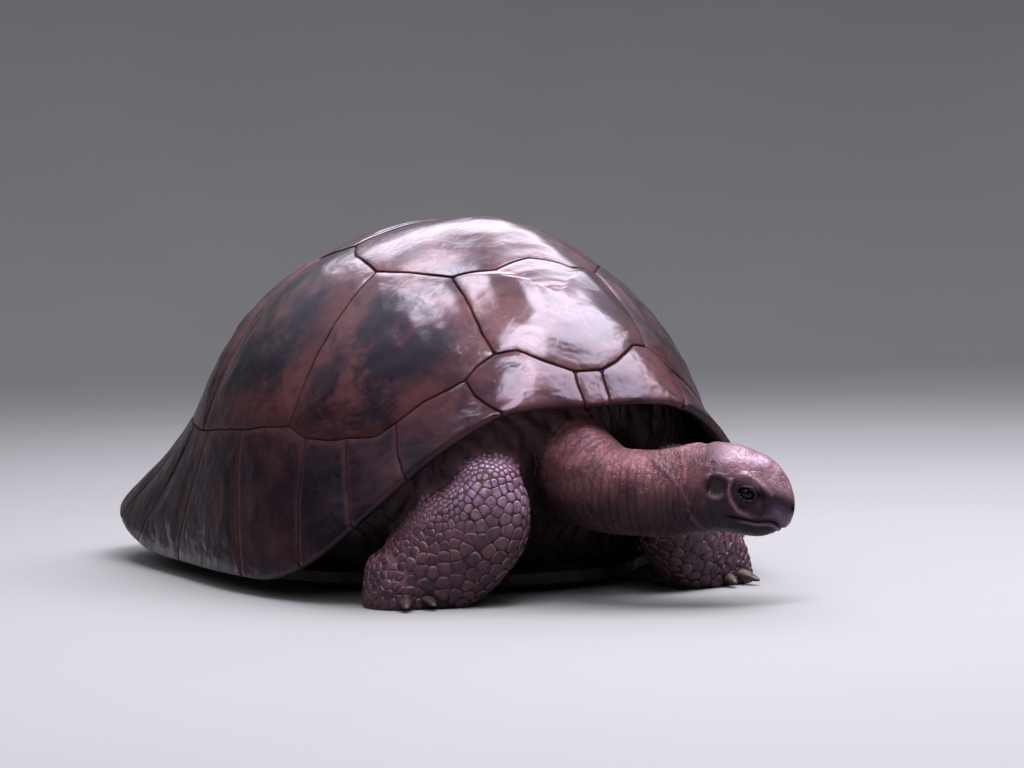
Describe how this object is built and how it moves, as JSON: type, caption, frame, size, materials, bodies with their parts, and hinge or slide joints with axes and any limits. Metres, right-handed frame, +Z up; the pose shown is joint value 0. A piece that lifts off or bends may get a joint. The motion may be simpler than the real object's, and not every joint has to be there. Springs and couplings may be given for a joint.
{
  "type": "giant tortoise",
  "caption": "Life-size still model of a giant tortoise at rest: a high domed shell with raised plates, elbows forward, head low and turned to its left.",
  "frame": {"origin": "on the flat underside of the plastron, under the middle of the shell's length and width", "axes": "-Y is the way the shell faces, +X is the animal's left, +Z is up"},
  "size_m": [0.8312, 1.3108, 0.5503],
  "materials": {
    "shell": "wet, glossy horn, purplish brown with dark blotches",
    "plastron": "dull horn, brown",
    "skin": "thick wrinkled skin, pinkish brown",
    "limb_scales": "horny scales in skin, purplish grey with paler edges",
    "eye": "wet, glossy, nearly black"
  },
  "bodies": {
    "root": {"carapace": "shell", "plastron": "plastron", "torso": "skin", "neck": "skin", "head": "skin", "eye_left": "eye", "foreleg_left": "limb_scales", "forefoot_left": "limb_scales", "hindleg_left": "limb_scales", "hindfoot_left": "limb_scales", "eye_right": "eye", "foreleg_right": "limb_scales", "forefoot_right": "limb_scales", "hindleg_right": "limb_scales", "hindfoot_right": "limb_scales", "tail": "skin"}
  },
  "joints": []
}
